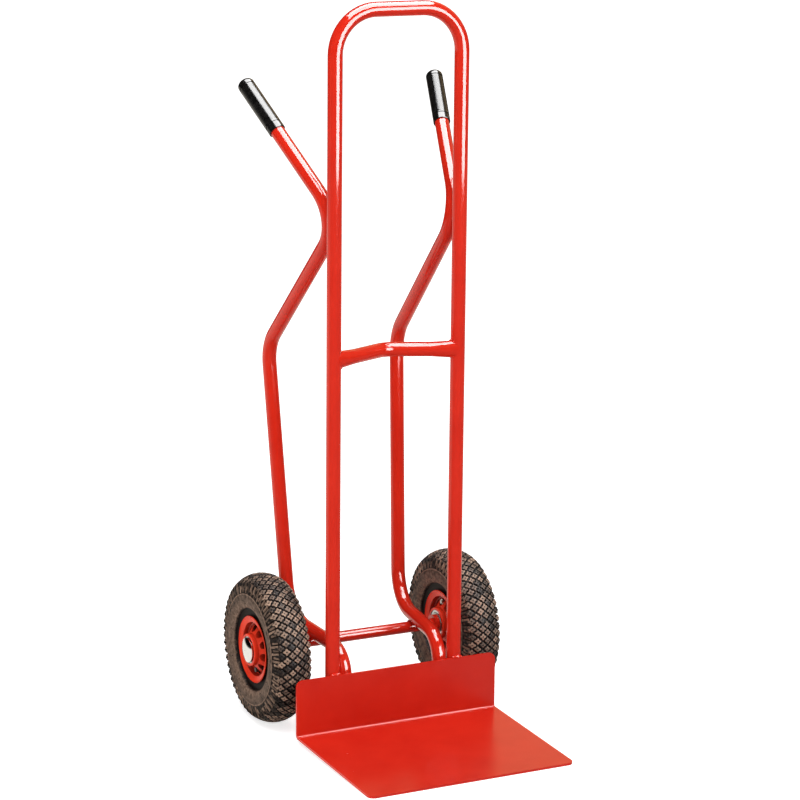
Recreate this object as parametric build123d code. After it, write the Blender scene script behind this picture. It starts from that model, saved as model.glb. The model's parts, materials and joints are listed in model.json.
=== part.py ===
from build123d import *
import os
from math import atan2, cos, sin, tan

# Hand truck: a bent tube frame on two pneumatic wheels with a folded toe plate.
# +X is to the right seen from the load side, -Y is the load side, +Z is up.
# The origin is on the floor in the middle of the truck's footprint.
# "left" is the -X side. Each wheel is built at the origin with its outer face towards +X.

# Driving dimensions, in millimetres
overall_height = 1245.0
overall_depth = 557.0

tube_od = 25.0
tube_wall = 2.0
upright_spacing = 232.0
loop_bend_radius = 73.0
tube_foot_z = 14.0

plate_thickness = 4.0
plate_width = 380.0
plate_corner_radius = 12.0
plate_fold_radius = 4.0
flange_back_y = 8.0
flange_top_z = 112.0
heel_rise = 10.0

bar_height = 656.5
bar_bow = 45.0
bar_bend_radius = 40.0
bar_end_height = 31.0
bar_end_depth = 17.0
bar_flare_length = 34.0

wheel_diameter = 260.0
wheel_track = 364.0
axle_diameter = 20.0
axle_setback = 138.5

grip_length = 116.0
grip_diameter = 29.4
grip_groove_diameter = 27.5
grip_groove_width = 3.0
grip_groove_from_tip = 14.0
grip_groove_from_end = 14.0
grip_dome_length = 10.0
grip_tip_thickness = 7.0

# Tools that cut through a face pass it by this much
overshoot = 1.0

# Places that follow from the driving dimensions
tube_radius = tube_od / 2
tube_bore_radius = tube_radius - tube_wall
wheel_radius = wheel_diameter / 2
axle_radius = axle_diameter / 2
axle_y = flange_back_y + axle_setback
toe_front_y = -overall_depth / 2
flange_front_y = flange_back_y - plate_thickness
upright_x = upright_spacing / 2
upright_y = flange_back_y + tube_radius

# Corners of the right side tube's centreline, from the tip of its grip down to its foot.
# The first bend rests on the back of the upright, and the last long run lies on the axle.
grip_tip = Vector(180.0, 246.0, 1098.0)
upper_bend = Vector(109.7, 17.1, 889.0)
rear_bend = Vector(124.5, 269.2, 635.5)
lower_bend = Vector(107.5, 218.2, 157.1)
foot_bend = Vector(90.9, 27.5, 145.1)
side_tube_foot = Vector(upright_x - tube_od, upright_y, tube_foot_z)
side_tube_bend_radii = [64.0, 71.0, 71.0, 48.0]
grip_direction = (upper_bend - grip_tip).normalized()

# Wheel sizes: a station is a distance out from the wheel's middle plane
bearing_bore_radius = 10.02
bearing_outer_radius = 23.5
bearing_inner_face = 20.0
bearing_outer_face = 34.0
inner_ring_radius = 14.2
outer_ring_bore_radius = 19.3
race_radius = 4.05
ball_radius = 3.95
ball_pitch_radius = 16.75
ball_count = 8
cage_inner_radius = 15.6
cage_outer_radius = 17.9
cage_width = 10.6
cage_pocket_radius = 4.1
washer_thickness = 1.0
washer_radius = 18.0
washer_outer_face = bearing_outer_face + washer_thickness
spacer_radius = 13.5
collar_radius = 16.0
collar_width = 8.0
cap_radius = 21.5
cap_wall = 1.0
cap_gap = 0.2
cap_skirt_width = 2.0
cap_dome_height = 4.0
axle_end_station = 38.5

rim_seat_radius = 50.0
rim_seat_edge = 19.6
rim_lip = [(22.0, 51.6), (23.4, 55.4), (25.0, 57.8), (27.2, 58.4), (28.0, 57.4), (26.4, 55.0)]
rim_dish = [(24.2, 47.2), (17.0, 45.4), (15.4, 43.4), (27.0, 28.4)]
rim_hub_face = [(bearing_outer_face, 28.0), (bearing_outer_face + 1, 27.4)]
rim_well_radius = 45.6
rim_web = [(10.6, rim_well_radius), (16.5, 31.0), (13.4, 22.6)]
rim_bore_radius = 19.0
rim_hub_radius = 22.6

rim_hole_count = 5
rim_hole_circle_radius = 36.5
rim_hole_radius = 7.5
rim_hole_start = 5.0
boss_radius = 8.6
boss_face_station = 16.0
bolt_radius = 3.0
bolt_hole_radius = 3.3
bolt_pocket_radius = 6.4
bolt_head_seat = 8.0
nut_seat = 16.0
hex_corner_radius = 5.8
bolt_head_height = 4.0
nut_height = 5.0
bolt_tail = 2.0

valve_radius = 2.6
valve_bore_radius = 1.2
valve_hole_radius = 3.2
valve_station = 4.0
valve_root_radius = 60.0
valve_tip_station = 22.0
valve_bend_radius = 7.0
valve_cap_radius = 4.0
valve_cap_length = 9.0
valve_cap_end = 2.0

tyre_bead_radius = 50.4
tyre_bead_heel = (20.0, tyre_bead_radius)
tyre_bead_toe = (14.5, tyre_bead_radius)
tyre_rim_line = (23.6, 60.5)
tyre_sidewall = (34.0, 87.0)
tyre_shoulder = (30.0, 114.0)
tread_shoulder = (28.2, 119.5)
tread_edge = (24.0, 123.0)
air_space_side = (29.0, 88.0)
air_space_shoulder = (22.0, 113.0)
air_space_radius = 121.0

tube_section_radius = 88.0
inner_tube_half_width = 25.0
inner_tube_half_height = 30.0
inner_tube_wall = 2.5

# Turn of each wheel about the axle, which sets where its rim holes lie
left_wheel_turn = 172.0
right_wheel_turn = 28.0


def bent_tube(corners, radii):
    """Round tube with an open bore, made of straight runs joined by bends."""
    path = FilletPolyline(*corners, radius=radii)
    start = Plane(origin=path @ 0, z_dir=path % 0)
    outside = sweep(start * Circle(tube_radius), path=path)
    bore = sweep(start * Circle(tube_bore_radius), path=path)
    return outside - bore


def turned(points):
    """Solid of revolution about the X axis from an outline of (station, radius) points."""
    return revolve(make_face(Polyline(*points, close=True)), Axis.X, 360)


def plain_ring(inner_radius, outer_radius, start, end):
    """Ring about the X axis between two stations."""
    return turned([(start, inner_radius), (end, inner_radius), (end, outer_radius), (start, outer_radius)])


def rod_along_x(radius, start, end, distance=0.0):
    """Round rod between two stations, parallel to the X axis and a distance above it."""
    return Pos((start + end) / 2, 0, distance) * Rot(Y=90) * Cylinder(radius, end - start)


def around_axle(shape, count, first_angle=0.0):
    """Copies of a shape spread evenly about the X axis."""
    return [Rot(X=first_angle + 360 * k / count) * shape for k in range(count)]


def mirrored(shape):
    return mirror(shape, about=Plane.YZ)


def make_main_loop():
    top_z = overall_height - tube_radius
    corners = [
        (-upright_x, upright_y, tube_foot_z),
        (-upright_x, upright_y, top_z),
        (upright_x, upright_y, top_z),
        (upright_x, upright_y, tube_foot_z),
    ]
    return bent_tube(corners, [loop_bend_radius, loop_bend_radius])


def make_bar_solid(radius, end_depth, end_height):
    """Bowed round bar whose two end lengths flare into ovals."""
    bow_angle = atan2(bar_bow, upright_x - tube_radius)
    flare_x = upright_x - tube_radius - bar_flare_length * cos(bow_angle)
    flare_y = upright_y + bar_flare_length * sin(bow_angle)
    corners = [
        (-flare_x, flare_y, bar_height),
        (0, upright_y + bar_bow, bar_height),
        (flare_x, flare_y, bar_height),
    ]
    path = FilletPolyline(*corners, radius=bar_bend_radius)
    bar = sweep(Plane(origin=path @ 0, z_dir=path % 0) * Circle(radius), path=path)
    for side in (-1, 1):
        outward = (side * cos(bow_angle), -sin(bow_angle), 0)
        near = Plane(origin=(side * flare_x, flare_y, bar_height), x_dir=(0, 0, 1), z_dir=outward)
        far = near.offset(bar_flare_length + tube_radius)
        bar += loft([near * Circle(radius), far * Ellipse(end_height / 2, end_depth / 2)])
    return bar


def make_cross_bar():
    """Bowed tube, pressed oval at its ends and shaped there to sit against the uprights."""
    outside = make_bar_solid(tube_radius, bar_end_depth, bar_end_height)
    bore = make_bar_solid(tube_bore_radius, bar_end_depth - 2 * tube_wall, bar_end_height - 2 * tube_wall)
    bar = outside - bore
    for side in (-1, 1):
        bar -= Pos(side * upright_x, upright_y, bar_height) * Cylinder(tube_radius, 2 * bar_end_height)
    between_uprights = Box(upright_spacing, 2 * (bar_bow + tube_od), 2 * bar_end_height)
    return bar & Pos(0, upright_y, bar_height) * between_uprights


def make_toe_plate():
    """Folded sheet: a flange behind the load and a shelf that dips to the floor at its front edge."""
    slope = atan2(heel_rise, flange_back_y - toe_front_y)
    sheet_height = plate_thickness / cos(slope)
    fold_z = (flange_front_y - toe_front_y) * tan(slope) + sheet_height
    outline = make_face(
        Polyline(
            (toe_front_y, 0),
            (flange_back_y, heel_rise),
            (flange_back_y, flange_top_z),
            (flange_front_y, flange_top_z),
            (flange_front_y, fold_z),
            (toe_front_y, sheet_height),
            close=True,
        )
    )
    heel = outline.vertices().sort_by_distance((flange_back_y, heel_rise))[0]
    outline = fillet(heel, plate_fold_radius + plate_thickness)
    inner_fold = outline.vertices().sort_by_distance((flange_front_y, fold_z))[0]
    outline = fillet(inner_fold, plate_fold_radius)
    plate = extrude(Plane.YZ * outline, plate_width / 2, both=True)
    for side in (-1, 1):
        for corner_y, corner_z in ((toe_front_y, sheet_height / 2), (flange_back_y, flange_top_z)):
            short_edges = plate.edges().filter_by(lambda edge: edge.length < 2 * plate_thickness)
            corner = short_edges.sort_by_distance((side * plate_width / 2, corner_y, corner_z))[0]
            plate = fillet(corner, plate_corner_radius)
    return plate


def make_side_tube():
    free_end = grip_tip + grip_direction * grip_tip_thickness
    corners = [free_end, upper_bend, rear_bend, lower_bend, foot_bend, side_tube_foot]
    return bent_tube(corners, side_tube_bend_radii)


def make_grip():
    """Sleeve with a domed tip and a shallow groove near each end."""
    body_radius = grip_diameter / 2
    dome_middle = (0.28 * grip_dome_length, 0.74 * body_radius)
    dome = ThreePointArc((0, 0), dome_middle, (grip_dome_length, body_radius))
    side = Polyline((grip_dome_length, body_radius), (grip_length, body_radius), (grip_length, 0), (0, 0))
    sleeve = revolve(make_face([dome, side]), Axis.X, 360)
    for groove_start in (grip_groove_from_tip, grip_length - grip_groove_from_end):
        groove_end = groove_start + grip_groove_width
        sleeve -= plain_ring(grip_groove_diameter / 2, grip_diameter, groove_start, groove_end)
    sleeve -= rod_along_x(tube_radius, grip_tip_thickness, grip_length + overshoot)
    place = Plane(origin=grip_tip, x_dir=grip_direction, z_dir=grip_direction.cross(Vector(1, 0, 0)))
    return place.location * sleeve


def other_side(point):
    """The same point of a wheel section on the other side of the wheel's middle plane."""
    return (-point[0], point[1])


def make_tyre():
    """Tyre carcass with its tread envelope, open towards the rim between its two beads."""
    crown = (0, wheel_radius)
    outer_side = [
        Line(tyre_bead_heel, tyre_rim_line),
        ThreePointArc(tyre_rim_line, tyre_sidewall, tyre_shoulder),
        ThreePointArc(tyre_shoulder, tread_shoulder, tread_edge),
    ]
    tread = ThreePointArc(tread_edge, crown, other_side(tread_edge))
    inner_side = [
        ThreePointArc(other_side(tread_edge), other_side(tread_shoulder), other_side(tyre_shoulder)),
        ThreePointArc(other_side(tyre_shoulder), other_side(tyre_sidewall), other_side(tyre_rim_line)),
        Line(other_side(tyre_rim_line), other_side(tyre_bead_heel)),
        Line(other_side(tyre_bead_heel), other_side(tyre_bead_toe)),
    ]
    air_space = [
        ThreePointArc(other_side(tyre_bead_toe), other_side(air_space_side), other_side(air_space_shoulder)),
        ThreePointArc(other_side(air_space_shoulder), (0, air_space_radius), air_space_shoulder),
        ThreePointArc(air_space_shoulder, air_space_side, tyre_bead_toe),
        Line(tyre_bead_toe, tyre_bead_heel),
    ]
    return revolve(make_face([*outer_side, tread, *inner_side, *air_space]), Axis.X, 360)


def make_inner_tube():
    """Air tube of oval section, pierced where its valve stem enters."""
    outside = Ellipse(inner_tube_half_width, inner_tube_half_height)
    inside = Ellipse(inner_tube_half_width - inner_tube_wall, inner_tube_half_height - inner_tube_wall)
    section = Pos(0, tube_section_radius) * (outside - inside)
    return revolve(section, Axis.X, 360) - valve_passage()


def valve_passage():
    """Radial hole through the inner tube and the rim's well for the valve stem."""
    return Pos(valve_station, 0, valve_root_radius) * Cylinder(valve_hole_radius, 2 * inner_tube_half_height)


def make_rim_half(pocket_floor):
    """Moulded rim half: lip, bead seat, dished face with holes and bolt pockets, and bearing seat."""
    bearing_seat = [
        (bearing_outer_face + 1, bearing_outer_radius),
        (bearing_inner_face, bearing_outer_radius),
        (bearing_inner_face, rim_bore_radius),
        (0, rim_bore_radius),
    ]
    hollow = [(0, rim_hub_radius), *reversed(rim_web), (0, rim_well_radius)]
    seat = [(0, rim_seat_radius), (rim_seat_edge, rim_seat_radius)]
    shell = turned([*seat, *rim_lip, *rim_dish, *rim_hub_face, *bearing_seat, *hollow])
    circle = rim_hole_circle_radius
    boss = rod_along_x(boss_radius, 0, boss_face_station, circle)
    bolt_hole = rod_along_x(bolt_hole_radius, -overshoot, pocket_floor + overshoot, circle)
    bolt_pocket = rod_along_x(bolt_pocket_radius, pocket_floor, bearing_outer_face, circle)
    face_hole = rod_along_x(rim_hole_radius, rim_hole_start, bearing_outer_face, circle)
    half_step = 180 / rim_hole_count
    half = shell + around_axle(boss, rim_hole_count, half_step)
    half -= around_axle(bolt_hole, rim_hole_count, half_step)
    half -= around_axle(bolt_pocket, rim_hole_count, half_step)
    return half - around_axle(face_hole, rim_hole_count)


def make_rim_bolts():
    """Hexagon bolts through both rim halves, as separate solids."""
    head_face = Plane(origin=(bolt_head_seat, 0, rim_hole_circle_radius), z_dir=(1, 0, 0))
    head = extrude(head_face * RegularPolygon(hex_corner_radius, 6), bolt_head_height)
    tail = -nut_seat - nut_height - bolt_tail
    bolt = head + rod_along_x(bolt_radius, tail, bolt_head_seat, rim_hole_circle_radius)
    return around_axle(bolt, rim_hole_count, 180 / rim_hole_count)


def make_rim_nuts():
    """Hexagon nuts on the inner rim half, as separate solids."""
    nut_face = Plane(origin=(-nut_seat, 0, rim_hole_circle_radius), z_dir=(-1, 0, 0))
    nut = extrude(nut_face * (RegularPolygon(hex_corner_radius, 6) - Circle(bolt_radius)), nut_height)
    return around_axle(nut, rim_hole_count, 180 / rim_hole_count)


def make_valve_stem():
    """Brass stem that leaves the inner tube, bends and comes out through a hole in the rim's face."""
    corners = [
        (valve_station, 0, valve_root_radius),
        (valve_station, 0, rim_hole_circle_radius),
        (valve_tip_station, 0, rim_hole_circle_radius),
    ]
    path = FilletPolyline(*corners, radius=valve_bend_radius)
    start = Plane(origin=path @ 0, z_dir=path % 0)
    outside = sweep(start * Circle(valve_radius), path=path)
    return outside - sweep(start * Circle(valve_bore_radius), path=path)


def make_valve_cap():
    """Cap over the tip of the valve stem, closed at its outer end."""
    top = valve_tip_station + valve_cap_end
    open_end = top - valve_cap_length
    cap = rod_along_x(valve_cap_radius, open_end, top, rim_hole_circle_radius)
    return cap - rod_along_x(valve_radius, open_end - overshoot, valve_tip_station, rim_hole_circle_radius)


def make_hub_cap():
    """Thin domed cap with a back plate that grips the end of the axle."""
    back = washer_outer_face + cap_gap
    edge = back + cap_skirt_width
    top = edge + cap_dome_height
    inner_back = back + cap_wall
    inner_edge = edge - cap_wall / 2
    inner_top = top - cap_wall
    inner_radius = cap_radius - cap_wall
    half_way = cap_radius / 2
    dome_sphere = (cap_radius**2 + cap_dome_height**2) / (2 * cap_dome_height)
    dip = dome_sphere - (dome_sphere**2 - half_way**2) ** 0.5
    outline = [
        Polyline((back, bearing_bore_radius), (back, cap_radius), (edge, cap_radius)),
        ThreePointArc((edge, cap_radius), (top - dip, half_way), (top, 0)),
        Line((top, 0), (inner_top, 0)),
        ThreePointArc((inner_top, 0), (inner_top - dip, half_way), (inner_edge, inner_radius)),
        Polyline((inner_edge, inner_radius), (inner_back, inner_radius), (inner_back, bearing_bore_radius)),
        Line((inner_back, bearing_bore_radius), (back, bearing_bore_radius)),
    ]
    return revolve(make_face(outline), Axis.X, 360)


def make_bearing():
    """Parts of a ball bearing centred on the wheel's middle plane, by name."""
    half_width = (bearing_outer_face - bearing_inner_face) / 2
    race = Pos(0, ball_pitch_radius) * Circle(race_radius)
    groove = revolve(race, Axis.X, 360)
    ball = Pos(0, 0, ball_pitch_radius) * Sphere(ball_radius)
    pocket = Pos(0, 0, ball_pitch_radius) * Sphere(cage_pocket_radius)
    cage = plain_ring(cage_inner_radius, cage_outer_radius, -cage_width / 2, cage_width / 2)
    inner_ring = plain_ring(bearing_bore_radius, inner_ring_radius, -half_width, half_width)
    outer_ring = plain_ring(outer_ring_bore_radius, bearing_outer_radius, -half_width, half_width)
    return {
        "inner_ring": inner_ring - groove,
        "outer_ring": outer_ring - groove,
        "balls": around_axle(ball, ball_count),
        "cage": cage - around_axle(pocket, ball_count),
    }


def make_wheel():
    """Every piece of one wheel about the X axis, with its outer face towards +X, by name."""
    pieces = {
        "tyre": make_tyre(),
        "inner_tube": make_inner_tube(),
        "rim_bolts": make_rim_bolts(),
        "rim_nuts": make_rim_nuts(),
        "valve_stem": make_valve_stem(),
        "valve_cap": make_valve_cap(),
    }
    stem_hole = valve_passage()
    pieces["rim_outer_half"] = make_rim_half(bolt_head_seat) - stem_hole
    pieces["rim_inner_half"] = mirrored(make_rim_half(nut_seat)) - stem_hole
    bearing_station = (bearing_inner_face + bearing_outer_face) / 2
    for place, station in (("outer", bearing_station), ("inner", -bearing_station)):
        for name, shape in make_bearing().items():
            pieces[f"{place}_bearing_{name}"] = moved(shape, Pos(station, 0, 0))
    return pieces


def make_axle_fittings():
    """Pieces that sit on one end of the axle and stay with it, by name."""
    collar_start = -washer_outer_face - collar_width
    bore = bearing_bore_radius
    return {
        "hub_spacer": plain_ring(bore, spacer_radius, -bearing_inner_face, bearing_inner_face),
        "outer_washer": plain_ring(bore, washer_radius, bearing_outer_face, washer_outer_face),
        "inner_washer": plain_ring(bore, washer_radius, -washer_outer_face, -bearing_outer_face),
        "axle_collar": plain_ring(bore, collar_radius, collar_start, -washer_outer_face),
        "hub_cap": make_hub_cap(),
    }


def moved(shape, location):
    """A shape, or a list of shapes, put at a location."""
    if isinstance(shape, list):
        return [location * item for item in shape]
    return location * shape


def save(name, shape):
    """Write one node, joining a list of separate solids into a single group."""
    if isinstance(shape, list):
        shape = Compound(children=shape)
    export_step(shape, f"parts/{name}.step")


def build():
    os.makedirs("parts", exist_ok=True)
    axle_length = wheel_track + 2 * axle_end_station
    axle = Pos(0, axle_y, wheel_radius) * Rot(Y=90) * Cylinder(axle_radius, axle_length)
    side_tube = make_side_tube()
    grip = make_grip()
    save("main_loop_tube", make_main_loop())
    save("cross_bar", make_cross_bar())
    save("toe_plate", make_toe_plate())
    save("axle", chamfer(axle.edges().filter_by(GeomType.CIRCLE), 1))
    save("right_side_tube", side_tube)
    save("left_side_tube", mirrored(side_tube))
    save("right_grip", grip)
    save("left_grip", mirrored(grip))

    wheel = make_wheel()
    fittings = make_axle_fittings()
    outward_turn = {"left": left_wheel_turn, "right": right_wheel_turn}
    for side, sign in (("left", -1), ("right", 1)):
        place = Pos(sign * wheel_track / 2, axle_y, wheel_radius)
        flip = Rot(Z=0 if sign > 0 else 180)
        for name, shape in wheel.items():
            save(f"{side}_{name}", moved(shape, place * Rot(X=outward_turn[side]) * flip))
        for name, shape in fittings.items():
            save(f"{side}_{name}", moved(shape, place * flip))


build()
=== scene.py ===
import json
import random
from math import cos, pi, radians, sin, sqrt, tau

import bmesh
import bpy
from mathutils import Matrix, Vector


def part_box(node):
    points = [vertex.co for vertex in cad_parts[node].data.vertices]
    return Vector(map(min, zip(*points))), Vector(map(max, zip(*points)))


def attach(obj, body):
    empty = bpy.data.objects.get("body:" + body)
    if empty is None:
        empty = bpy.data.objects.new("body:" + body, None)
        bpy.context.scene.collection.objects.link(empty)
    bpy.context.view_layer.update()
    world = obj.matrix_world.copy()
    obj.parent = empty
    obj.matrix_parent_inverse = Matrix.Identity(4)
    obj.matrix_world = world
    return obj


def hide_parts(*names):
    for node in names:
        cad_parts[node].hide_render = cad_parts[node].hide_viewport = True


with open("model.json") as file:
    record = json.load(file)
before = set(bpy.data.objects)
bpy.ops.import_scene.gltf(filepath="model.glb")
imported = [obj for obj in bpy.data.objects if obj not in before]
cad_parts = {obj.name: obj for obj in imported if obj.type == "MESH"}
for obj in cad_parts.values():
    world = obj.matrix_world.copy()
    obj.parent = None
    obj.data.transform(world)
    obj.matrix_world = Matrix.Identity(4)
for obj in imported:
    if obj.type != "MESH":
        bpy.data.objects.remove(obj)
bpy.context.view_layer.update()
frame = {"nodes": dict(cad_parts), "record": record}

# Everything is in metres in the truck's own frame: +X to the right seen from the load side,
# -Y towards the load, +Z up, the origin on the floor. Small sizes are millimetres times MM.
MM = 0.001
SIDES = {"left": -1, "right": 1}

# Sizes that the frame gives
TYRE_LOW, TYRE_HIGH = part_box("right_tyre")
RIGHT_WHEEL = (TYRE_LOW + TYRE_HIGH) / 2
WHEEL_RADIUS = (TYRE_HIGH.z - TYRE_LOW.z) / 2
TYRE_HALF_WIDTH = (TYRE_HIGH.x - TYRE_LOW.x) / 2
LOOP_LOW, LOOP_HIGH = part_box("main_loop_tube")
TUBE_RADIUS = (LOOP_HIGH.y - LOOP_LOW.y) / 2
UPRIGHT_X = LOOP_HIGH.x - TUBE_RADIUS
UPRIGHT_Y = (LOOP_LOW.y + LOOP_HIGH.y) / 2
PLATE_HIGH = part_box("toe_plate")[1]
BAR_LOW, BAR_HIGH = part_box("cross_bar")
AXLE_LOW, AXLE_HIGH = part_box("axle")
AXLE_RADIUS = (AXLE_HIGH.z - AXLE_LOW.z) / 2

# Where the right side tube touches the back of its upright, as (x, z), and the axle, as x
SIDE_TUBE_TOUCH = Vector((115.4, 887.5)) * MM
SIDE_TUBE_OVER_AXLE = 101.3 * MM

# Grip sizes, and the tip and direction of the right grip
GRIP_LENGTH = 116 * MM
GRIP_RADIUS = 14.7 * MM
GRIP_BORE_RADIUS = 12.6 * MM
GRIP_BORE_START = 7 * MM
GRIP_DOME = 10 * MM
GRIP_DOME_STEPS = 8
GRIP_SIDES = 64
GRIP_TIP = Vector((180, 246, 1098)) * MM
GRIP_DIRECTION = (Vector((109.7, 17.1, 889)) * MM - GRIP_TIP).normalized()

# The grip has one wide groove near each end and many fine ones between them
END_GROOVE_WIDTH = 3 * MM
END_GROOVE_DEPTH = 1.0 * MM
FINE_GROOVE_WIDTH = 1.0 * MM
FINE_GROOVE_DEPTH = 0.15 * MM
FINE_GROOVE_PITCH = 2.2 * MM

# Tread: rows of four-lobed knobs across the crown, then radial ribs down each shoulder
KNOB_ROWS = 7
KNOB_ROW_PITCH = 8.7 * MM
KNOBS_AROUND = 54
KNOB_TIP_RADIUS = 6.3 * MM
KNOB_NOTCH = 2.6 * MM
KNOB_NOTCH_SHARPNESS = 2.2
KNOB_DIMPLE = 1.1 * MM
KNOB_SIDES = 32
TREAD_DEPTH = 4.6 * MM
RIBS_AROUND = 108
RIB_HALF_WIDTH = 1.9 * MM
RIB_START_STATION = 29.6 * MM
RIB_TOP_RADIUS = 114 * MM
RIB_END_RADII = (99.5 * MM, 104 * MM)
RIB_STEPS = 4
CARCASS_SEGMENTS = 192

# Small nubs that moulding leaves on the sidewall, in rings given as (radius, how many)
NUB_RADIUS = 0.9 * MM
NUB_HEIGHT = 0.8 * MM
NUB_SIDES = 8
NUB_RINGS = ((80 * MM, 11), (92 * MM, 17))

# Weld beads
RIPPLE_PITCH = 2.2 * MM
STEPS_TO_A_RIPPLE = 4
WELD_SIDES = 12

# Edges sharper than this many degrees stay sharp
SHARP_ANGLE = 38

random.seed(4)


# Meshes


class Shells:
    """Gathers closed shells into one mesh. Each vertex also has a value from 0 to 1 for dust and
    painted highlight.
    """

    def __init__(self):
        self.points = []
        self.faces = []
        self.dust_and_highlight = []

    def loft(self, rings, dust_and_highlight, closed=False):
        """Join rings of equally many points, each with its value of dust and painted highlight.

        A closed loft runs back to its first ring, and an open one is capped at both ends.
        """
        first = len(self.points)
        around = len(rings[0])
        for ring, value in zip(rings, dust_and_highlight):
            self.points.extend(ring)
            self.dust_and_highlight.extend([value] * around)
        steps = len(rings) if closed else len(rings) - 1
        for step in range(steps):
            here = first + step * around
            there = first + (step + 1) % len(rings) * around
            for k in range(around):
                after = (k + 1) % around
                self.faces.append((here + k, here + after, there + after, there + k))
        if not closed:
            last = first + (len(rings) - 1) * around
            self.faces.append(tuple(range(first + around - 1, first - 1, -1)))
            self.faces.append(tuple(range(last, last + around)))

    def mesh(self, name, place=None):
        """The shells as one smooth-shaded mesh, moved to its place if one is given."""
        mesh = bpy.data.meshes.new(name)
        mesh.from_pydata(self.points, [], self.faces)
        attribute = mesh.attributes.new("dust_and_highlight", "FLOAT", "POINT")
        attribute.data.foreach_set("value", self.dust_and_highlight)
        if place is not None:
            mesh.transform(place)
        builder = bmesh.new()
        builder.from_mesh(mesh)
        bmesh.ops.recalc_face_normals(builder, faces=builder.faces)
        builder.to_mesh(mesh)
        builder.free()
        mesh.shade_smooth()
        mesh.set_sharp_from_angle(angle=radians(SHARP_ANGLE))
        return mesh


def add_piece(name, mesh, body, slot):
    """A new piece that rides on a body of the frame, in the material of its slot."""
    piece = bpy.data.objects.new(name, mesh)
    bpy.context.scene.collection.objects.link(piece)
    mesh.materials.append(MATERIALS[slot])
    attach(piece, body)
    return piece


def circle_through(a, b, c):
    """Centre and radius of the circle through three points of a plane."""
    d = 2 * (a[0] * (b[1] - c[1]) + b[0] * (c[1] - a[1]) + c[0] * (a[1] - b[1]))
    squares = [p[0] ** 2 + p[1] ** 2 for p in (a, b, c)]
    x = (squares[0] * (b[1] - c[1]) + squares[1] * (c[1] - a[1]) + squares[2] * (a[1] - b[1])) / d
    y = (squares[0] * (c[0] - b[0]) + squares[1] * (a[0] - c[0]) + squares[2] * (b[0] - a[0])) / d
    return x, y, sqrt((a[0] - x) ** 2 + (a[1] - y) ** 2)


# Materials


def new_material(name, colour, roughness, **sockets):
    """A Principled material; every constant value is set on the shader's own socket."""
    material = bpy.data.materials.new(name)
    material.use_nodes = True
    shader = material.node_tree.nodes["Principled BSDF"]
    shader.inputs["Base Color"].default_value = (*colour, 1)
    shader.inputs["Roughness"].default_value = roughness
    for socket, value in sockets.items():
        shader.inputs[socket.replace("_", " ")].default_value = value
    return material, material.node_tree, shader


def noise(tree, scale, detail=4.0, roughness=0.55):
    """Noise over the object's own coordinates; scale is in cells to the metre."""
    place = tree.nodes.new("ShaderNodeTexCoord")
    texture = tree.nodes.new("ShaderNodeTexNoise")
    texture.inputs["Scale"].default_value = scale
    texture.inputs["Detail"].default_value = detail
    texture.inputs["Roughness"].default_value = roughness
    tree.links.new(place.outputs["Object"], texture.inputs["Vector"])
    return texture.outputs["Fac"]


def ramp(tree, factor, stops):
    """Colour ramp from (position, colour) stops."""
    node = tree.nodes.new("ShaderNodeValToRGB")
    elements = node.color_ramp.elements
    while len(elements) < len(stops):
        elements.new(0.5)
    for element, (position, colour) in zip(elements, stops):
        element.position = position
        element.color = (*colour, 1)
    tree.links.new(factor, node.inputs["Fac"])
    return node.outputs["Color"]


def graded(tree, value, start, end, low, high):
    """A value's run from start to end turned into one from low to high."""
    node = tree.nodes.new("ShaderNodeMapRange")
    ranges = {"From Min": start, "From Max": end, "To Min": low, "To Max": high}
    for socket, number in ranges.items():
        node.inputs[socket].default_value = number
    tree.links.new(value, node.inputs["Value"])
    return node.outputs["Result"]


def spread_between(tree, factor, low, high):
    """A factor from 0 to 1 spread between two values."""
    return graded(tree, factor, 0.0, 1.0, low, high)


def product(tree, a, b):
    """Two values multiplied."""
    node = tree.nodes.new("ShaderNodeMath")
    node.operation = "MULTIPLY"
    tree.links.new(a, node.inputs[0])
    tree.links.new(b, node.inputs[1])
    return node.outputs["Value"]


def add_bump(tree, shader, height, strength, distance):
    """Bump the shader's surface by a height."""
    node = tree.nodes.new("ShaderNodeBump")
    node.inputs["Strength"].default_value = strength
    node.inputs["Distance"].default_value = distance
    tree.links.new(height, node.inputs["Height"])
    tree.links.new(node.outputs["Normal"], shader.inputs["Normal"])


def painted_hollow_shade(tree, colour, hollow_shade):
    """A colour darkened to near black where the surface is hollow, by ambient occlusion: painted
    shade.
    """
    hollows = tree.nodes.new("ShaderNodeAmbientOcclusion")
    hollows.samples = 8
    hollows.inputs["Distance"].default_value = 22 * MM
    mix = tree.nodes.new("ShaderNodeMix")
    mix.data_type = "RGBA"
    tree.links.new(spread_between(tree, hollows.outputs["AO"], hollow_shade, 0.0), mix.inputs["Factor"])
    tree.links.new(colour, mix.inputs["A"])
    mix.inputs["B"].default_value = (0.012, 0.004, 0.003, 1)
    return mix.outputs["Result"]


def make_enamel(name, colour, shade, roughness, index=1.5, hollow_shade=0.0):
    """Glossy stoved enamel: a slightly uneven red, orange peel, and painted shade in hollows if
    asked.
    """
    material, tree, shader = new_material(name, colour, roughness, IOR=index)
    red = ramp(tree, noise(tree, 14, detail=6), [(0.3, shade), (0.62, colour)])
    # Painted shade: ambient occlusion darkens the red in hollows and holes
    if hollow_shade:
        red = painted_hollow_shade(tree, red, hollow_shade)
    tree.links.new(red, shader.inputs["Base Color"])
    smears = spread_between(tree, noise(tree, 60, detail=5), roughness * 0.8, roughness * 1.25)
    tree.links.new(smears, shader.inputs["Roughness"])
    orange_peel = noise(tree, 260, detail=2)
    add_bump(tree, shader, orange_peel, 0.010, 0.4 * MM)
    return material


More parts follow.
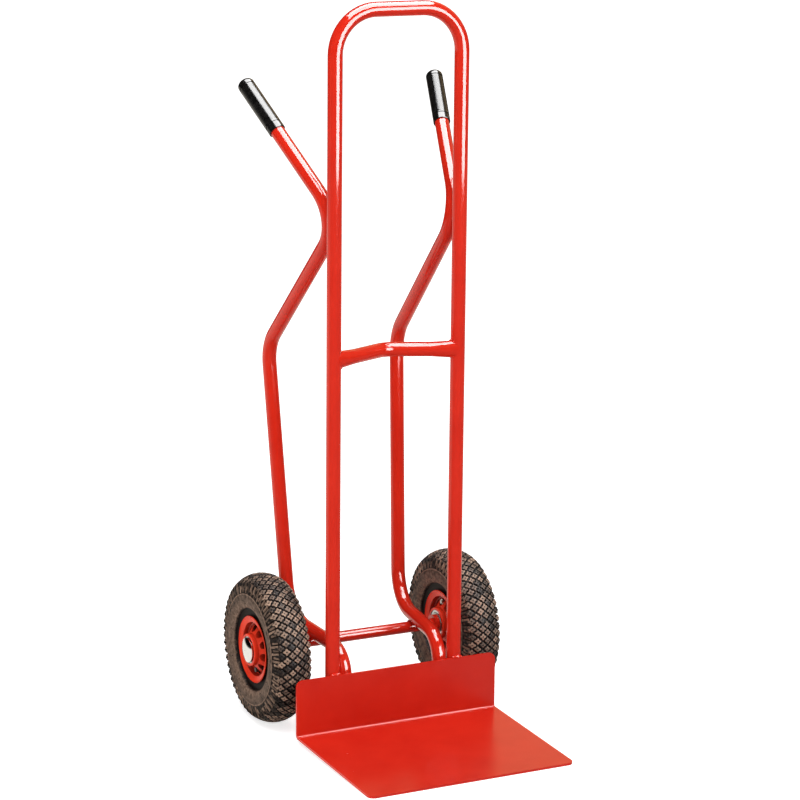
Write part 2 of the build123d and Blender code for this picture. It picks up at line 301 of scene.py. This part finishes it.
def make_rubber(name, clean, dusty_and_highlit, roughness):
    """Tyre rubber whose raised faces are lighter, from dust and wear and a painted highlight;
    grooves stay dark.
    """
    material, tree, shader = new_material(name, clean, roughness, Specular_IOR_Level=0.25)
    # The dust value lightens the rubber: real dust, and a painted highlight on the knob tops
    attribute = tree.nodes.new("ShaderNodeAttribute")
    attribute.attribute_name = "dust_and_highlight"
    patches = tree.nodes.new("ShaderNodeMath")
    patches.operation = "MULTIPLY_ADD"
    tree.links.new(noise(tree, 140, detail=8, roughness=0.75), patches.inputs[0])
    patches.inputs[1].default_value = 1.6
    patches.inputs[2].default_value = -0.85
    dust_and_highlight_level = tree.nodes.new("ShaderNodeMath")
    dust_and_highlight_level.operation = "ADD"
    dust_and_highlight_level.use_clamp = True
    tree.links.new(attribute.outputs["Fac"], dust_and_highlight_level.inputs[0])
    tree.links.new(patches.outputs["Value"], dust_and_highlight_level.inputs[1])
    level = dust_and_highlight_level.outputs["Value"]
    middle = tuple(0.55 * a + 0.45 * b for a, b in zip(clean, dusty_and_highlit))
    colour = ramp(tree, level, [(0.12, clean), (0.55, middle), (0.95, dusty_and_highlit)])
    tree.links.new(colour, shader.inputs["Base Color"])
    dullness = spread_between(tree, level, roughness * 0.8, roughness)
    tree.links.new(dullness, shader.inputs["Roughness"])
    add_bump(tree, shader, noise(tree, 900, detail=5, roughness=0.7), 0.35, 0.3 * MM)
    return material


def make_vinyl(name):
    """Black dipped vinyl with a fine grain."""
    material, tree, shader = new_material(name, (0.012, 0.012, 0.013), 0.18, IOR=1.5)
    grain = noise(tree, 1400, detail=6, roughness=0.7)
    blacks = [(0.35, (0.003, 0.003, 0.003)), (0.7, (0.011, 0.010, 0.010))]
    tree.links.new(ramp(tree, noise(tree, 120, detail=5), blacks), shader.inputs["Base Color"])
    tree.links.new(spread_between(tree, grain, 0.1, 0.2), shader.inputs["Roughness"])
    add_bump(tree, shader, grain, 0.12, 0.1 * MM)
    return material


def make_metal(name, colour, roughness, wear=0.12):
    """Bare or plated metal with fine scratches and slight stains."""
    material, tree, shader = new_material(name, colour, roughness, Metallic=1.0)
    darker = tuple((1 - wear) * c for c in colour)
    stains = ramp(tree, noise(tree, 55, detail=6), [(0.35, darker), (0.6, colour)])
    tree.links.new(stains, shader.inputs["Base Color"])
    scratches = noise(tree, 700, detail=6, roughness=0.75)
    scratched = spread_between(tree, scratches, roughness * 0.7, roughness * 1.4)
    tree.links.new(scratched, shader.inputs["Roughness"])
    add_bump(tree, shader, scratches, 0.03, 0.1 * MM)
    return material


def make_plain_rubber(name, colour, roughness):
    """Smooth moulded rubber or plastic with a faint bloom."""
    material, tree, shader = new_material(name, colour, roughness)
    bloom = tuple(min(1.0, 1.8 * c + 0.01) for c in colour)
    mottled = ramp(tree, noise(tree, 80, detail=6), [(0.4, colour), (0.75, bloom)])
    tree.links.new(mottled, shader.inputs["Base Color"])
    add_bump(tree, shader, noise(tree, 800, detail=4), 0.1, 0.2 * MM)
    return material


# Each red comes with its deeper shade
# The tubes' red is the sheet's red darkened: painted shade for the tubes
SHADED_TUBE_REDS = ((0.67, 0.024, 0.010), (0.615, 0.019, 0.008))
SHEET_REDS = ((0.74, 0.024, 0.010), (0.68, 0.019, 0.008))
RIM_REDS = ((0.90, 0.050, 0.018), (0.78, 0.034, 0.012))
CLEAN_RUBBER = (0.010, 0.006, 0.005)
# Brown of dust on the tread, matched to lit knob tops: dust and a painted highlight
BROWN_DUST_AND_HIGHLIGHT = (0.46, 0.295, 0.205)

# The detailed material of each of the record's slots
MATERIALS = {
    "frame_paint": make_enamel("frame_enamel", *SHADED_TUBE_REDS, 0.07),
    # The rims' red gets painted shade, darkening their hollows and holes
    "rim_red": make_enamel("rim_gloss_red", *RIM_REDS, 0.24, index=1.25, hollow_shade=1.2),
    "tyre": make_rubber("tyre_rubber", CLEAN_RUBBER, BROWN_DUST_AND_HIGHLIGHT, 0.75),
    "inner_tube_rubber": make_plain_rubber("butyl_rubber", (0.012, 0.012, 0.013), 0.55),
    "grip_plastic": make_vinyl("grip_vinyl"),
    "cap_chrome": make_metal("cap_chrome", (0.86, 0.87, 0.89), 0.07, wear=0.04),
    "zinc_steel": make_metal("zinc_plate", (0.62, 0.61, 0.58), 0.34),
    "bearing_steel": make_metal("bearing_steel", (0.56, 0.56, 0.57), 0.22),
    "valve_brass": make_metal("valve_brass", (0.72, 0.52, 0.24), 0.3),
    "valve_cap_plastic": make_plain_rubber("valve_cap_black", (0.014, 0.014, 0.014), 0.45),
}


def finish_frame_nodes():
    """Give every node of the frame the detailed material of its slot.

    The toe plate's enamel is less glossy than the tubes'; the tubes' red is the plate's darkened,
    as painted shade.
    """
    sheet_paint = make_enamel("sheet_enamel", *SHEET_REDS, 0.24)
    for part in frame["record"]["subparts"]:
        node = frame["nodes"][part["node"]]
        is_sheet = part["node"] == "toe_plate"
        node.data.materials.clear()
        node.data.materials.append(sheet_paint if is_sheet else MATERIALS[part["material_slot"]])


# Tyres


# Arcs of the tyre's section, each through three points given as (station, radius)
_, CROWN_R, CROWN_CURVE = circle_through(
    (-24 * MM, 123 * MM), (0, WHEEL_RADIUS), (24 * MM, 123 * MM)
)
WALL_X, WALL_R, WALL_CURVE = circle_through(
    (23.6 * MM, 60.5 * MM), (34 * MM, 87 * MM), (30 * MM, 114 * MM)
)

# The carcass's bead, as (station, radius) in millimetres
BEAD = ((20.0, 50.6), (22.6, 56.0), (23.0, 60.0))

# Its sidewall, as (radius, depth below the arc, dust and highlight value) in millimetres: a hollow
# beside the rim, a lighter flat, a raised ring, and the sunk shoulder that the ribs stand on
SIDEWALL = (
    (63, 1.6, 0.0),
    (66, 3.4, 0.0),
    (69, 4.8, 0.0),
    (71, 4.6, 0.02),
    (72, 1.2, 0.3),
    (73.5, 0.2, 0.55),
    (79, 0.2, 0.5),
    (85, 0.1, 0.45),
    (91, 0.2, 0.4),
    (95.2, 0.5, 0.34),
    (95.8, 0.0, 0.6),
    (97.4, 0.0, 0.6),
    (98.2, 0.8, 0.1),
    (104, 1.0, 0.03),
    (109, 1.8, 0.0),
    (114, 3.2, 0.0),
)

# Stations of its crown, under the tread, and the (station, radius) points of its inside
CROWN_STATIONS = (25.6, 22, 17, 11, 5)
INSIDE = (
    (14.5, 50.6),
    (16.5, 60),
    (20.6, 69),
    (24.2, 77),
    (27.2, 88),
    (25.8, 103),
    (17, 116),
    (0, 121),
)


def crown_radius(station):
    """Radius of the tread's envelope at a distance from the wheel's middle plane."""
    return CROWN_R + sqrt(CROWN_CURVE**2 - station**2)


def wall_station(radius):
    """Half width of the tyre at a radius on its sidewall."""
    return WALL_X + sqrt(WALL_CURVE**2 - (radius - WALL_R) ** 2)


def on_wheel(station, radius, angle):
    """Point of a wheel whose axis is X, before it is put in its place."""
    return Vector((station, radius * sin(angle), radius * cos(angle)))


def carcass_outline():
    """Half outline of the tyre from its bead to its crown, as (station, radius, dust and highlight
    value).
    """
    outline = [(station * MM, radius * MM, 0.0) for station, radius in BEAD]
    for radius, sunk, dust_and_highlight in SIDEWALL:
        outline.append((wall_station(radius * MM) - sunk * MM, radius * MM, dust_and_highlight))
    for station in CROWN_STATIONS:
        outline.append((station * MM, crown_radius(station * MM) - TREAD_DEPTH, 0.0))
    return outline


def carcass_rings():
    """Rings of the whole carcass, with their dust and highlight values: over the crown, then back
    along the inside.
    """
    half = carcass_outline()
    crown = [(0, WHEEL_RADIUS - TREAD_DEPTH, 0.0)]
    mirrored_half = [(-station, radius, dust_and_highlight) for station, radius, dust_and_highlight in reversed(half)]
    inner = [(station * MM, radius * MM, 0.0) for station, radius in INSIDE]
    mirrored_inner = [(-station, radius, dust_and_highlight) for station, radius, dust_and_highlight in inner[:-1]]
    outline = half + crown + mirrored_half + mirrored_inner + inner[::-1]
    angles = [tau * k / CARCASS_SEGMENTS for k in range(CARCASS_SEGMENTS)]
    rings = []
    for station, radius, _ in outline:
        rings.append([on_wheel(station, radius, angle) for angle in angles])
    return rings, [dust_and_highlight for _, _, dust_and_highlight in outline]


def add_knob(shells, row, angle, size, dust_and_highlight_amount):
    """Four-lobed tread block: a chamfered top that follows the crown, with a dimple in it."""
    # Each ring's last number is its share of dust and painted highlight; the top face, where light
    # catches, gets it all
    steps = (  # spread, depth below the crown, share of the dust
        (1.14, TREAD_DEPTH + 0.8 * MM, 0.0),
        (1.0, 1.3 * MM, 0.05),
        (0.93, 0.4 * MM, 0.45),
        (0.76, 0.0, 1.0),
        (0.26, 0.1 * MM, 0.8),
        (0.15, KNOB_DIMPLE, 0.0),
    )
    rings = []
    for spread, depth, _ in steps:
        ring = []
        for k in range(KNOB_SIDES):
            turn = tau * k / KNOB_SIDES
            notch = KNOB_NOTCH * abs(sin(2 * turn)) ** KNOB_NOTCH_SHARPNESS
            reach = size * spread * (KNOB_TIP_RADIUS - notch)
            station = row + reach * cos(turn)
            radius = crown_radius(station)
            ring.append(on_wheel(station, radius - depth, angle + reach * sin(turn) / radius))
        rings.append(ring)
    shells.loft(rings, [share * dust_and_highlight_amount for _, _, share in steps])


def add_rib(shells, side, angle, end_radius, dust_and_highlight_amount):
    """Radial rib on the tyre's shoulder, from the tread's edge down to the sidewall."""
    places = [(RIB_START_STATION, crown_radius(RIB_START_STATION) - 0.4 * MM)]
    for step in range(RIB_STEPS + 1):
        radius = RIB_TOP_RADIUS + (end_radius - RIB_TOP_RADIUS) * step / RIB_STEPS
        proud = 0.2 * MM * (1 - 2 * step / RIB_STEPS)
        places.append((wall_station(radius) + proud, radius))
    outward = Vector((0.75, 0.66))
    rings = []
    for station, radius in places:
        top = Vector((station, radius))
        base = top - outward * (TREAD_DEPTH + 0.6 * MM)
        edge = top - outward * 0.6 * MM
        wide = (RIB_HALF_WIDTH + 0.5 * MM) / radius
        narrow = (RIB_HALF_WIDTH - 0.4 * MM) / radius
        flank = RIB_HALF_WIDTH / radius
        half_section = [(base, wide), (edge, flank), (top, narrow)]
        section = [(point, -turn) for point, turn in half_section] + half_section[::-1]
        rings.append([on_wheel(side * point.x, point.y, angle + turn) for point, turn in section])
    shells.loft(rings, [dust_and_highlight_amount] * len(rings))


def add_nub(shells, side, angle, radius):
    """Small round nub standing on the sidewall."""
    rings = []
    for spread, height in ((1.3, -NUB_HEIGHT), (1.0, 0.6 * NUB_HEIGHT), (0.6, NUB_HEIGHT)):
        reach = NUB_RADIUS * spread
        ring = []
        for k in range(NUB_SIDES):
            turn = tau * k / NUB_SIDES
            place = radius + reach * cos(turn)
            station = min(wall_station(place) - 0.2 * MM + height, TYRE_HALF_WIDTH)
            ring.append(on_wheel(side * station, place, angle + reach * sin(turn) / radius))
        rings.append(ring)
    shells.loft(rings, [0.0] * len(rings))


def make_tyre(name, side, body):
    """Knobbly tyre: carcass, staggered knobs, shoulder ribs and nubs, some with more dust and
    painted highlight than others.
    """
    shells = Shells()
    shells.loft(*carcass_rings(), closed=True)
    step = tau / KNOBS_AROUND
    for row in range(KNOB_ROWS):
        station = (row - (KNOB_ROWS - 1) / 2) * KNOB_ROW_PITCH
        for k in range(KNOBS_AROUND):
            angle = (k + 0.5 * (row % 2) + random.uniform(-0.03, 0.03)) * step
            size = random.uniform(0.93, 1.05)
            dust_and_highlight_amount = random.uniform(0.15, 0.9)
            add_knob(shells, station, angle, size, dust_and_highlight_amount)
    for wall in (-1, 1):
        for k in range(RIBS_AROUND):
            angle = (k + 0.5) * tau / RIBS_AROUND
            add_rib(shells, wall, angle, RIB_END_RADII[k % 2], random.uniform(0.15, 0.75))
        for radius, count in NUB_RINGS:
            for k in range(count):
                add_nub(shells, wall, (k + random.uniform(0.3, 0.7)) * tau / count, radius)
    place = Matrix.Translation((side * RIGHT_WHEEL.x, RIGHT_WHEEL.y, RIGHT_WHEEL.z))
    return add_piece(name, shells.mesh(name, place), body, "tyre")


# Grips


def ring_groove(start, width, depth):
    """Outline of a groove around the grip, as (distance, radius)."""
    slope = 0.3 * MM
    return [
        (start, GRIP_RADIUS),
        (start + slope, GRIP_RADIUS - depth),
        (start + width - slope, GRIP_RADIUS - depth),
        (start + width, GRIP_RADIUS),
    ]


def grip_outline():
    """Outline of the grip from its tip to its open end and back inside, as (distance, radius)."""
    outline = []
    for k in range(1, GRIP_DOME_STEPS + 1):
        angle = pi / 2 * k / GRIP_DOME_STEPS
        outline.append((GRIP_DOME * (1 - cos(angle)), GRIP_RADIUS * sin(angle)))
    outline += ring_groove(14 * MM, END_GROOVE_WIDTH, END_GROOVE_DEPTH)
    first_fine = 18.5 * MM
    last_fine = GRIP_LENGTH - 15.5 * MM
    for k in range(int((last_fine - first_fine) / FINE_GROOVE_PITCH)):
        start = first_fine + k * FINE_GROOVE_PITCH
        outline += ring_groove(start, FINE_GROOVE_WIDTH, FINE_GROOVE_DEPTH)
    outline += ring_groove(GRIP_LENGTH - 14 * MM, END_GROOVE_WIDTH, END_GROOVE_DEPTH)
    chamfer = 0.6 * MM
    outline += [(GRIP_LENGTH - chamfer, GRIP_RADIUS), (GRIP_LENGTH, GRIP_RADIUS - chamfer)]
    outline += [(GRIP_LENGTH, GRIP_BORE_RADIUS), (GRIP_BORE_START, GRIP_BORE_RADIUS)]
    return outline


def make_grip(name, side):
    """Dipped vinyl sleeve with a domed tip, fine ribs and a groove near each end."""
    turns = [tau * k / GRIP_SIDES for k in range(GRIP_SIDES)]
    rings = []
    for distance, radius in grip_outline():
        rings.append([Vector((radius * cos(turn), radius * sin(turn), distance)) for turn in turns])
    shells = Shells()
    shells.loft(rings, [0.0] * len(rings))
    tip = Vector((side * GRIP_TIP.x, GRIP_TIP.y, GRIP_TIP.z))
    direction = Vector((side * GRIP_DIRECTION.x, GRIP_DIRECTION.y, GRIP_DIRECTION.z))
    place = Matrix.Translation(tip) @ direction.to_track_quat("Z", "Y").to_matrix().to_4x4()
    return add_piece(name, shells.mesh(name, place), "frame", "grip_plastic")


# Welds


def make_weld(name, start, end, radius, bulge=(0, 0, 0)):
    """Rippled weld bead between two points, bowed out in its middle."""
    start, end = Vector(start), Vector(end)
    length = (end - start).length
    along = (end - start).normalized()
    across = along.orthogonal().normalized()
    other = along.cross(across)
    turns = [tau * k / WELD_SIDES for k in range(WELD_SIDES)]
    ripples = max(6, round(length / RIPPLE_PITCH))
    steps = STEPS_TO_A_RIPPLE * ripples
    rings = []
    for step in range(steps + 1):
        t = step / steps
        centre = start.lerp(end, t) + Vector(bulge) * sin(pi * t)
        swell = 0.82 + 0.18 * abs(sin(pi * ripples * t))
        taper = min(1.0, 0.35 + 6 * min(t, 1 - t))
        reach = radius * swell * taper * random.uniform(0.94, 1.06)
        rings.append([centre + (across * cos(turn) + other * sin(turn)) * reach for turn in turns])
    shells = Shells()
    shells.loft(rings, [0.0] * len(rings))
    return add_piece(name, shells.mesh(name), "frame", "frame_paint")


def weld_foot(side_name, side):
    """Beads between the upright's foot and the toe plate's flange: at its top and both sides."""
    upright = side * UPRIGHT_X
    half = 0.8 * TUBE_RADIUS
    top = (PLATE_HIGH.y - 1.5 * MM, PLATE_HIGH.z + 0.8 * MM)
    ends = ((upright - half, *top), (upright + half, *top))
    make_weld(f"weld_{side_name}_foot_top", *ends, 3.0 * MM)
    for edge_name, edge in (("inner", -side), ("outer", side)):
        x = upright + edge * 0.72 * TUBE_RADIUS
        low = (x, PLATE_HIGH.y + 2.0 * MM, 30 * MM)
        high = (x, PLATE_HIGH.y + 2.0 * MM, PLATE_HIGH.z - 4 * MM)
        make_weld(f"weld_{side_name}_foot_{edge_name}", low, high, 2.4 * MM)


def weld_bar(side_name, side):
    """Beads above and below the cross bar's end."""
    x = side * (UPRIGHT_X - TUBE_RADIUS + 1.0 * MM)
    edges = (("top", BAR_HIGH.z - 1.5 * MM, 1), ("bottom", BAR_LOW.z + 1.5 * MM, -1))
    for edge_name, z, bow in edges:
        ends = ((x, UPRIGHT_Y - 7 * MM, z), (x, UPRIGHT_Y + 9 * MM, z))
        make_weld(f"weld_{side_name}_bar_{edge_name}", *ends, 2.0 * MM, (0, 0, bow * 0.6 * MM))


def weld_arm(side_name, side):
    """Beads on both sides of the side tube where it touches the back of the upright."""
    y = UPRIGHT_Y + TUBE_RADIUS
    for edge_name, edge in (("inner", -side), ("outer", side)):
        x = side * SIDE_TUBE_TOUCH.x + edge * 5.4 * MM
        low = (x - side * 1.0 * MM, y, SIDE_TUBE_TOUCH.y - 15 * MM)
        high = (x + side * 1.0 * MM, y, SIDE_TUBE_TOUCH.y + 15 * MM)
        make_weld(f"weld_{side_name}_arm_{edge_name}", low, high, 2.6 * MM)


def weld_side_foot(side_name, side):
    """Bead between the side tube's foot and the upright's."""
    x = side * (UPRIGHT_X - TUBE_RADIUS)
    low = (x, UPRIGHT_Y + 6 * MM, 18 * MM)
    high = (x, UPRIGHT_Y + 6.5 * MM, 78 * MM)
    make_weld(f"weld_{side_name}_side_foot", low, high, 2.8 * MM)


def weld_axle(side_name, side):
    """Beads before and behind the axle where the side tube crosses it."""
    crossing = side * SIDE_TUBE_OVER_AXLE
    z = RIGHT_WHEEL.z + AXLE_RADIUS - 1.2 * MM
    for edge_name, edge in (("front", -1), ("back", 1)):
        y = RIGHT_WHEEL.y + edge * 6.5 * MM
        ends = ((crossing - 8 * MM, y, z), (crossing + 8 * MM, y, z))
        make_weld(f"weld_{side_name}_axle_{edge_name}", *ends, 2.4 * MM)


def make_welds():
    """Beads where the frame's tubes, axle and plate are joined."""
    for side_name, side in SIDES.items():
        for weld in (weld_foot, weld_bar, weld_arm, weld_side_foot, weld_axle):
            weld(side_name, side)


# Floor, lights and camera


FLOOR_REACH = 40
FILL_DISTANCE = 4
FILL_AIM = Vector((0, 0, 0.7))

# The box on the right stands upright, with its middle at this height
RIGHT_BOX_HEIGHT = 1.38
RIGHT_BOX_DISTANCE = 2.5
RIGHT_BOX_AZIMUTH = 20.3

# The boxes overhead hang a little towards the load side
OVERHEAD_HEIGHT = 2.8
OVERHEAD_Y = -0.3


def make_floor():
    """Pale floor, glowing to the camera alone so that it stays white far away."""
    r = FLOOR_REACH
    mesh = bpy.data.meshes.new("floor")
    mesh.from_pydata([(-r, -r, 0), (r, -r, 0), (r, r, 0), (-r, r, 0)], [], [(0, 1, 2, 3)])
    floor = bpy.data.objects.new("floor", mesh)
    bpy.context.scene.collection.objects.link(floor)
    material, tree, shader = new_material(
        "floor_paint", (0.8, 0.8, 0.8), 0.9, Specular_IOR_Level=0.0, Emission_Color=(1, 1, 1, 1)
    )
    greys = [(0.3, (0.78, 0.78, 0.78)), (0.7, (0.82, 0.82, 0.82))]
    tree.links.new(ramp(tree, noise(tree, 3, detail=3), greys), shader.inputs["Base Color"])
    place = tree.nodes.new("ShaderNodeTexCoord")
    distance = tree.nodes.new("ShaderNodeVectorMath")
    distance.operation = "LENGTH"
    tree.links.new(place.outputs["Object"], distance.inputs[0])
    paths = tree.nodes.new("ShaderNodeLightPath")
    glow = graded(tree, distance.outputs["Value"], 0.6, 2.0, 0.7, 1.0)
    seen_glow = product(tree, glow, paths.outputs["Is Camera Ray"])
    tree.links.new(seen_glow, shader.inputs["Emission Strength"])
    mesh.materials.append(material)
    floor.location.z = -0.2 * MM
    floor.visible_glossy = False


def direction_from(azimuth, elevation):
    """Unit vector towards an azimuth and elevation in degrees; azimuth 0 is -Y and 90 is +X."""
    a, e = radians(azimuth), radians(elevation)
    return Vector((sin(a) * cos(e), -cos(a) * cos(e), sin(e)))


def add_light(name, place, aim, size, power, gloss=False):
    """Soft box at a place, turned to its aim. It lights gloss alone, or everything but gloss."""
    data = bpy.data.lights.new(name, "AREA")
    data.shape = "RECTANGLE"
    data.size, data.size_y = size
    data.energy = power
    light = bpy.data.objects.new(name, data)
    bpy.context.scene.collection.objects.link(light)
    light.location = place
    light.rotation_mode = "QUATERNION"
    light.rotation_quaternion = (Vector(aim) - Vector(place)).to_track_quat("-Z", "Y")
    light.visible_camera = False
    light.visible_glossy = gloss
    light.visible_diffuse = not gloss
    return light


def add_fill(name, azimuth, elevation, width, power):
    """Square soft fill in a direction from the middle of the truck, turned back to it."""
    place = FILL_AIM + direction_from(azimuth, elevation) * FILL_DISTANCE
    return add_light(name, place, FILL_AIM, (width, width), power)


def linked_collection(name, node, state):
    """Collection for light linking that takes in one CAD node, or leaves it out."""
    collection = bpy.data.collections.new(name)
    collection.objects.link(frame["nodes"][node])
    collection.collection_objects[0].light_linking.link_state = state
    return collection


def make_lights():
    """Soft fills, and boxes for the gloss to reflect: one ahead on the right, one overhead.

    The flat toe plate would mirror a whole box, so it has a small one of its own, for its fold.
    """
    add_fill("key_fill", -20, 60, 3, 134)
    add_fill("left_fill", -85, 6, 2.5, 52)
    right_fill = add_fill("right_fill", 40, 25, 2.5, 48)
    over, under = (0.25, OVERHEAD_Y, OVERHEAD_HEIGHT), (0.25, OVERHEAD_Y, 0)
    overhead_box = add_light("overhead_box", over, under, (2.1, 2.2), 270, gloss=True)
    box_aim = Vector((0, 0, RIGHT_BOX_HEIGHT))
    box_place = direction_from(RIGHT_BOX_AZIMUTH, 0) * RIGHT_BOX_DISTANCE + box_aim
    right_box = add_light("right_box", box_place, box_aim, (2.2, 1.62), 216, gloss=True)
    fold_place = (1.36, OVERHEAD_Y, OVERHEAD_HEIGHT)
    fold_box = add_light("fold_box", fold_place, (0, 0, 0), (0.6, 0.9), 60, gloss=True)
    plate_alone = linked_collection("toe_plate_alone", "toe_plate", "INCLUDE")
    fold_box.light_linking.receiver_collection = plate_alone
    plate_left_out = linked_collection("all_but_toe_plate", "toe_plate", "EXCLUDE")
    for light in (right_fill, right_box, overhead_box):
        light.light_linking.receiver_collection = plate_left_out


def background(tree, strength=1.0):
    """White background shader of a given strength."""
    node = tree.nodes.new("ShaderNodeBackground")
    node.inputs["Color"].default_value = (1, 1, 1, 1)
    node.inputs["Strength"].default_value = strength
    return node


def mixed_shader(tree, factor, first, second):
    """The first background where the factor is 0, the second where it is 1."""
    node = tree.nodes.new("ShaderNodeMixShader")
    tree.links.new(factor, node.inputs["Fac"])
    tree.links.new(first, node.inputs[1])
    tree.links.new(second, node.inputs[2])
    return node.outputs["Shader"]


def make_world():
    """Surroundings: white to the camera and soft from above as light.

    Gloss sees a bright floor behind, a dark band at the horizon and a warmer wall above it, and
    next to nothing towards the upper left.
    """
    world = bpy.data.worlds.new("studio")
    bpy.context.scene.world = world
    world.use_nodes = True
    tree = world.node_tree
    place = tree.nodes.new("ShaderNodeTexCoord")
    split = tree.nodes.new("ShaderNodeSeparateXYZ")
    tree.links.new(place.outputs["Generated"], split.inputs["Vector"])
    upper_left = tree.nodes.new("ShaderNodeVectorMath")
    upper_left.operation = "DOT_PRODUCT"
    tree.links.new(place.outputs["Generated"], upper_left.inputs[0])
    upper_left.inputs[1].default_value = (-0.45, 0.35, 0.82)

    height = graded(tree, split.outputs["Z"], -0.5, 0.5, 0.0, 1.0)
    floor_white, band, wall = (1.0, 0.95, 0.84), (0.06, 0.05, 0.05), (1.0, 0.74, 0.42)
    colours = ramp(tree, height, [(0.34, floor_white), (0.41, band), (0.64, band), (0.71, wall)])
    behind = graded(tree, split.outputs["Y"], -0.1, 0.5, 0.2, 1.0)
    dark = graded(tree, upper_left.outputs["Value"], 0.41, 0.46, 1.0, 0.03)
    in_gloss = background(tree)
    tree.links.new(colours, in_gloss.inputs["Color"])
    tree.links.new(product(tree, behind, dark), in_gloss.inputs["Strength"])
    as_light = background(tree)
    from_above = graded(tree, split.outputs["Z"], -0.2, 0.6, 0.1, 0.42)
    tree.links.new(from_above, as_light.inputs["Strength"])
    to_camera = background(tree, 1.05)

    shown = [node.outputs["Background"] for node in (in_gloss, as_light, to_camera)]
    paths = tree.nodes.new("ShaderNodeLightPath")
    unseen = mixed_shader(tree, paths.outputs["Is Diffuse Ray"], shown[0], shown[1])
    whole = mixed_shader(tree, paths.outputs["Is Camera Ray"], unseen, shown[2])
    tree.links.new(whole, tree.nodes["World Output"].inputs["Surface"])


def make_camera():
    """A long lens a little to the left of the load side, looking slightly down."""
    azimuth, elevation, roll = -26.72, 12.96, radians(0.57)
    distance = 4.7098
    back = direction_from(azimuth, elevation)
    right = (-back).cross(Vector((0, 0, 1))).normalized()
    up = right.cross(-back)
    nudge_right, nudge_down = 0.0007, 0.0189
    aim = Vector((0, 0.007, 0.600)) + right * nudge_right - up * nudge_down
    rolled_right = right * cos(roll) + up * sin(roll)
    rolled_up = up * cos(roll) - right * sin(roll)
    axes = Matrix((rolled_right, rolled_up, back)).transposed()
    data = bpy.data.cameras.new("camera")
    data.sensor_width = 36
    data.lens = 126.45
    camera = bpy.data.objects.new("camera", data)
    camera.matrix_world = Matrix.Translation(aim + back * distance) @ axes.to_4x4()
    bpy.context.scene.collection.objects.link(camera)
    bpy.context.scene.camera = camera


finish_frame_nodes()
for side_name, side in SIDES.items():
    tyre = make_tyre(f"{side_name}_knobbly_tyre", side, f"{side_name}_wheel")
    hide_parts(f"{side_name}_tyre")
    grip = make_grip(f"{side_name}_ribbed_grip", side)
    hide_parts(f"{side_name}_grip")
make_welds()
make_floor()
make_lights()
make_world()
make_camera()
bpy.context.scene.view_settings.view_transform = "Standard"
